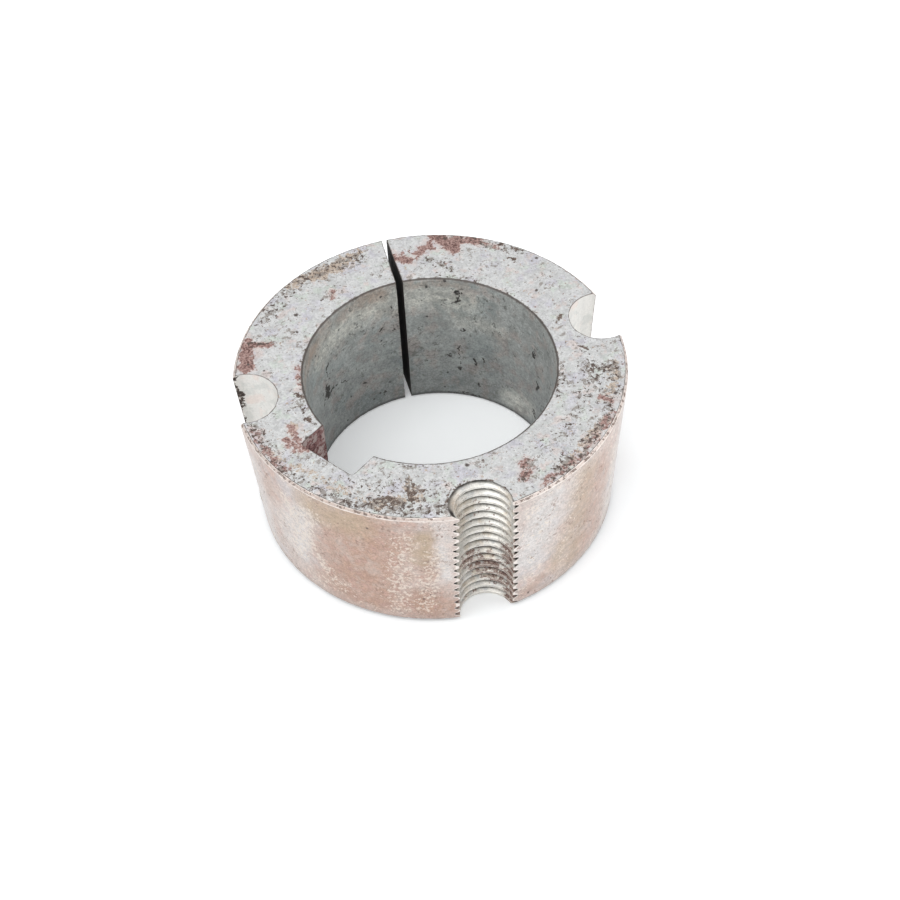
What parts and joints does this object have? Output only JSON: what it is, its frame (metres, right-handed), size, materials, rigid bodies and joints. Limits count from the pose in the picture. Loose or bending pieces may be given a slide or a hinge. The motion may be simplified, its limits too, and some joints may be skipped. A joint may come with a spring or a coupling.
{
  "type": "taper bush",
  "caption": "Split taper bush that clamps a hub onto a keyed shaft: conical outside, straight bore with keyway, saw cut, blind half-holes for its screws and a tapped half-hole to jack it out.",
  "frame": {"origin": "on the bore axis, in the plane of the small end face", "axes": "+Z along the bore towards the large end, -Y through the tapped half-hole, +Y through the saw cut"},
  "size_m": [0.057, 0.0568, 0.0254],
  "materials": {
    "cast_iron": "machined grey iron, lightly rusted and speckled"
  },
  "bodies": {
    "root": {"taper_bush": "cast_iron"}
  },
  "joints": []
}
